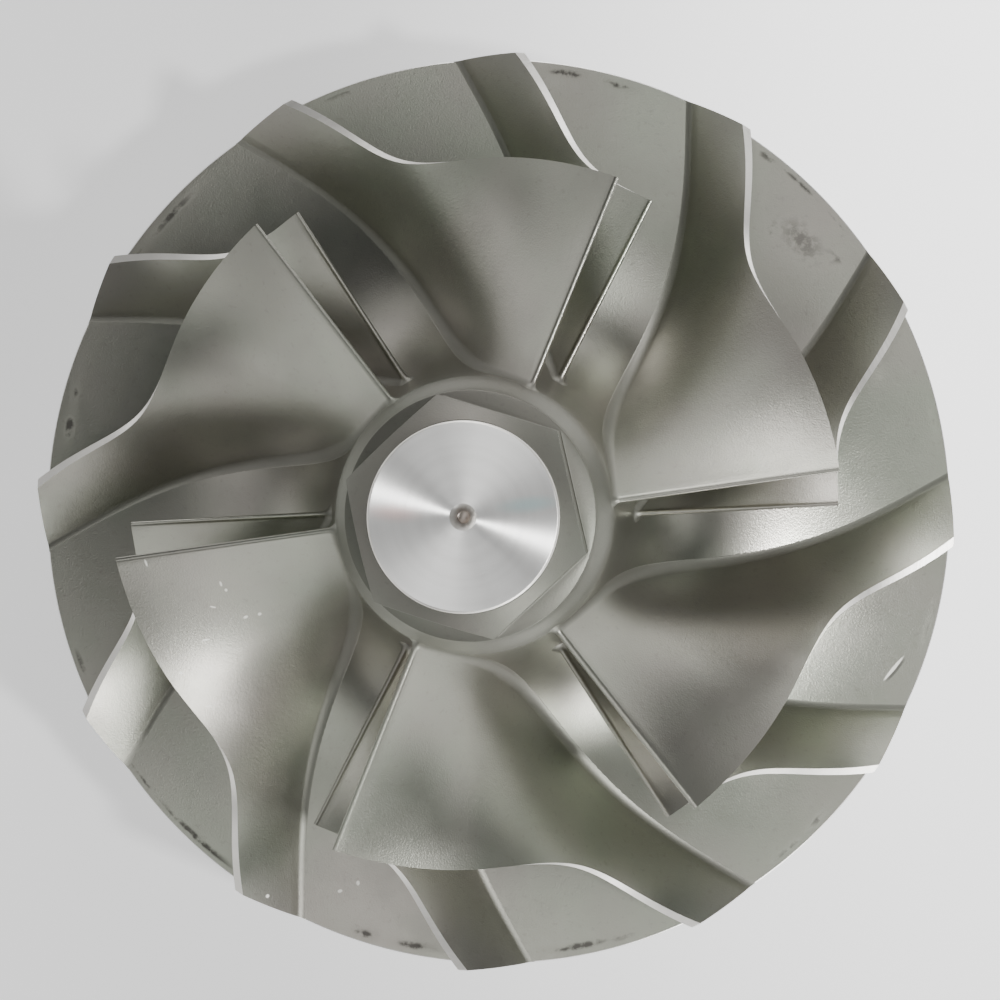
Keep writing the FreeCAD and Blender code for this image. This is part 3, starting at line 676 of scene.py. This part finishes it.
def edge_metal():
    n = Nodes("machined_edge")
    x, y, z, r = n.polar()
    lines = n.noise(n.combine(n.math("MULTIPLY", r, 1.0), n.math("MULTIPLY", z, 1.0), 0.0), 9000.0, 2.0, 0.5)
    long = n.noise(n.coord, 240.0, 3.0, 0.5)
    base = n.mix(n.span(long, 0.35, 0.65, 0, 1), rgb(0.90, 0.88, 0.83), rgb(0.80, 0.78, 0.73))
    n.link(base, n.bsdf.inputs["Base Color"])
    n.bsdf.inputs["Metallic"].default_value = 1.0
    n.link(n.span(lines, 0.3, 0.7, 0.34, 0.48), n.bsdf.inputs["Roughness"])
    n.link(n.bump(lines, 0.35, 0.00003), n.bsdf.inputs["Normal"])
    return n.mat


def turned_metal(name, light, dark, rough, aniso, pitch, painted_sheen_tints=()):
    n = Nodes(name)
    x, y, z, r = n.polar()
    rings = n.noise(n.combine(r, 0.0, 0.0), pitch, 3.0, 0.65)
    wide = n.noise(n.combine(r, 0.3, 0.0), pitch * 0.18, 2.0, 0.5)
    base = n.mix(n.span(wide, 0.3, 0.7, 0, 1), light, dark)
    # Painted reflection: coloured sheen spots where the streak highlight crosses the turned face
    for centre, half, turn, colour in painted_sheen_tints:
        base = n.mix(n.math("MULTIPLY", n.spot(centre, half, turn, 0.1, 1.1), 0.8), base, colour)
    n.link(base, n.bsdf.inputs["Base Color"])
    n.bsdf.inputs["Metallic"].default_value = 1.0
    n.link(n.span(rings, 0.3, 0.7, rough - 0.05, rough + 0.07), n.bsdf.inputs["Roughness"])
    n.bsdf.inputs["Anisotropic"].default_value = aniso
    n.bsdf.inputs["Anisotropic Rotation"].default_value = 0.25
    tangent = n.tree.nodes.new("ShaderNodeTangent")
    tangent.direction_type = "RADIAL"
    tangent.axis = "Z"
    n.link(tangent.outputs[0], n.bsdf.inputs["Tangent"])
    n.link(n.bump(rings, 0.4, 0.00003), n.bsdf.inputs["Normal"])
    return n.mat


def bore_metal():
    n = Nodes("bore_metal")
    stain = n.noise(n.coord, 700.0, 3.0, 0.6)
    base = n.mix(n.span(stain, 0.35, 0.65, 0, 1), rgb(0.36, 0.29, 0.24), rgb(0.50, 0.46, 0.42))
    n.link(base, n.bsdf.inputs["Base Color"])
    n.bsdf.inputs["Metallic"].default_value = 1.0
    n.link(n.span(stain, 0.3, 0.7, 0.32, 0.46), n.bsdf.inputs["Roughness"])
    n.link(n.bump(stain, 0.2, 0.00005), n.bsdf.inputs["Normal"])
    return n.mat


def floor_paint_and_glow():
    n = Nodes("studio_floor")
    tone = n.noise(n.coord, 1.4, 2.0, 0.5)
    base = n.mix(n.span(tone, 0.3, 0.7, 0, 1), rgb(0.44, 0.44, 0.44), rgb(0.46, 0.46, 0.46))
    n.link(base, n.bsdf.inputs["Base Color"])
    n.bsdf.inputs["Roughness"].default_value = 0.85
    n.bsdf.inputs["Specular IOR Level"].default_value = 0.2
    x, y, z, r = n.polar()
    # The floor glows though it is no lamp: emission 0.70 everywhere, which fills in shadow, plus a painted pool of
    # light rising towards +x and +y and fading out beyond the view
    n.bsdf.inputs["Emission Color"].default_value = rgb(1.0, 1.0, 1.0)
    glow = n.math("MULTIPLY", n.span(x, -0.03, 0.065, 0.0, 1.0, True), n.span(y, -0.06, 0.06, 0.85, 1.75))
    reach = n.math("MAXIMUM", n.math("ABSOLUTE", x), n.math("ABSOLUTE", y))
    glow = n.math("MULTIPLY", glow, n.span(reach, 0.072, 0.125, 1.0, 0.0, True))
    n.link(n.math("ADD", glow, 0.70), n.bsdf.inputs["Emission Strength"])
    return n.mat


MATERIALS = [
    cast_metal(),
    edge_metal(),
    # the turned nose carries painted rainbow sheen at left and right, along the streak highlight
    turned_metal("turned_nose", rgb(0.90, 0.895, 0.87), rgb(0.84, 0.835, 0.81), 0.33, 1.0, 5200.0,
                 (((-6.6, 0.4, 62.4), (3.4, 1.1, 2.0), -4.0, rgb(0.93, 0.74, 0.70)),
                  ((6.2, 1.2, 62.4), (3.6, 1.0, 2.0), 6.0, rgb(0.70, 0.88, 0.88)))),
    turned_metal("turned_back", rgb(0.66, 0.655, 0.63), rgb(0.60, 0.595, 0.575), 0.33, 0.6, 3000.0),
    bore_metal(),
    turned_metal("turned_land", rgb(0.74, 0.73, 0.70), rgb(0.68, 0.67, 0.645), 0.34, 0.4, 3600.0),
    # a darker, rougher copy of the cast metal for the nose; the darkening is painted shade
    cast_metal("nose_metal_painted_shade", 0.52, 0.20),
]
wheel = build_wheel(MATERIALS).build("compressor_wheel_skin", MATERIALS)
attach(wheel, "root")
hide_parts("compressor_wheel")

# ------------------------------------------------------------- studio and light
def plane(name, size, z, material):
    s = size / 2
    mesh = bpy.data.meshes.new(name)
    mesh.from_pydata([(-s, -s, z), (s, -s, z), (s, s, z), (-s, s, z)], [], [(0, 1, 2, 3)])
    mesh.materials.append(material)
    obj = bpy.data.objects.new(name, mesh)
    bpy.context.scene.collection.objects.link(obj)
    return obj


floor = plane("studio_floor", 3.0, 0.0, floor_paint_and_glow())

scene = bpy.context.scene
world = bpy.data.worlds.new("studio")
scene.world = world
world.use_nodes = True
world.node_tree.nodes["Background"].inputs[0].default_value = rgb(0.95, 0.97, 1.0)
world.node_tree.nodes["Background"].inputs[1].default_value = 0.08

CENTRE = Vector((0.0, 0.0, 0.03))


def lamp(name, azimuth, elevation, distance, size, power, tint=(1, 1, 1), wide=1.0):
    data = bpy.data.lights.new(name, "AREA")
    data.shape = "RECTANGLE"
    data.size = size * wide
    data.size_y = size
    data.energy = power
    data.color = tint
    obj = bpy.data.objects.new(name, data)
    az, el = math.radians(azimuth), math.radians(elevation)
    direction = Vector((math.cos(el) * math.cos(az), math.cos(el) * math.sin(az), math.sin(el)))
    obj.location = CENTRE + direction * distance
    obj.rotation_euler = (-direction).to_track_quat("-Z", "Y").to_euler()
    scene.collection.objects.link(obj)
    return obj


# Big soft panels round a dim room: azimuth, elevation, power
PANELS = [(300, 8, 8.6), (270, 8, 1.2), (210, 8, 0.5), (180, 8, 0.3), (150, 8, 0.6), (120, 8, 0.55), (90, 8, 4.3),
          (75, 30, 2.7), (45, 30, 0.5), (165, 30, 0.7), (195, 30, 0.45), (225, 30, 1.1),
          (240, 52, 0.5), (210, 52, 0.3), (60, 52, 0.35), (255, 70, 1.1), (75, 70, 0.8), (0, 88, 1.0)]
for azimuth, elevation, power in PANELS:
    lamp("panel_%03d_%02d" % (azimuth, elevation), azimuth, elevation, 1.2, 0.5, power)
# and a smaller one that draws the streak across the turned nose
lamp("streak", 341, 47, 1.2, 0.12, 14.5)

# ---------------------------------------------------------------------- camera
TILT, TURN = 0.0596068, 0.1048895
DISTANCE, FOCAL = 0.306, 2711.7085
OFF_X, OFF_Y = -5.88286, -11.72738
view = Vector((math.sin(TILT) * math.cos(TURN), math.sin(TILT) * math.sin(TURN), math.cos(TILT)))
right = (-view).cross(Vector((0, 1, 0))).normalized()
up = right.cross(-view)
per = DISTANCE / FOCAL
place = Vector((0, 0, 0.014)) + view * DISTANCE - right * (OFF_X * per) - up * (OFF_Y * per)
camera_data = bpy.data.cameras.new("camera")
camera_data.sensor_width = 36.0
camera_data.sensor_fit = "HORIZONTAL"
camera_data.lens = FOCAL * 36.0 / 1000.0
camera_data.clip_start = 0.01
camera_data.clip_end = 20.0
camera = bpy.data.objects.new("camera", camera_data)
frame_axes = Matrix((right, up, view)).transposed().to_4x4()
frame_axes.translation = place
camera.matrix_world = frame_axes
scene.collection.objects.link(camera)
scene.camera = camera
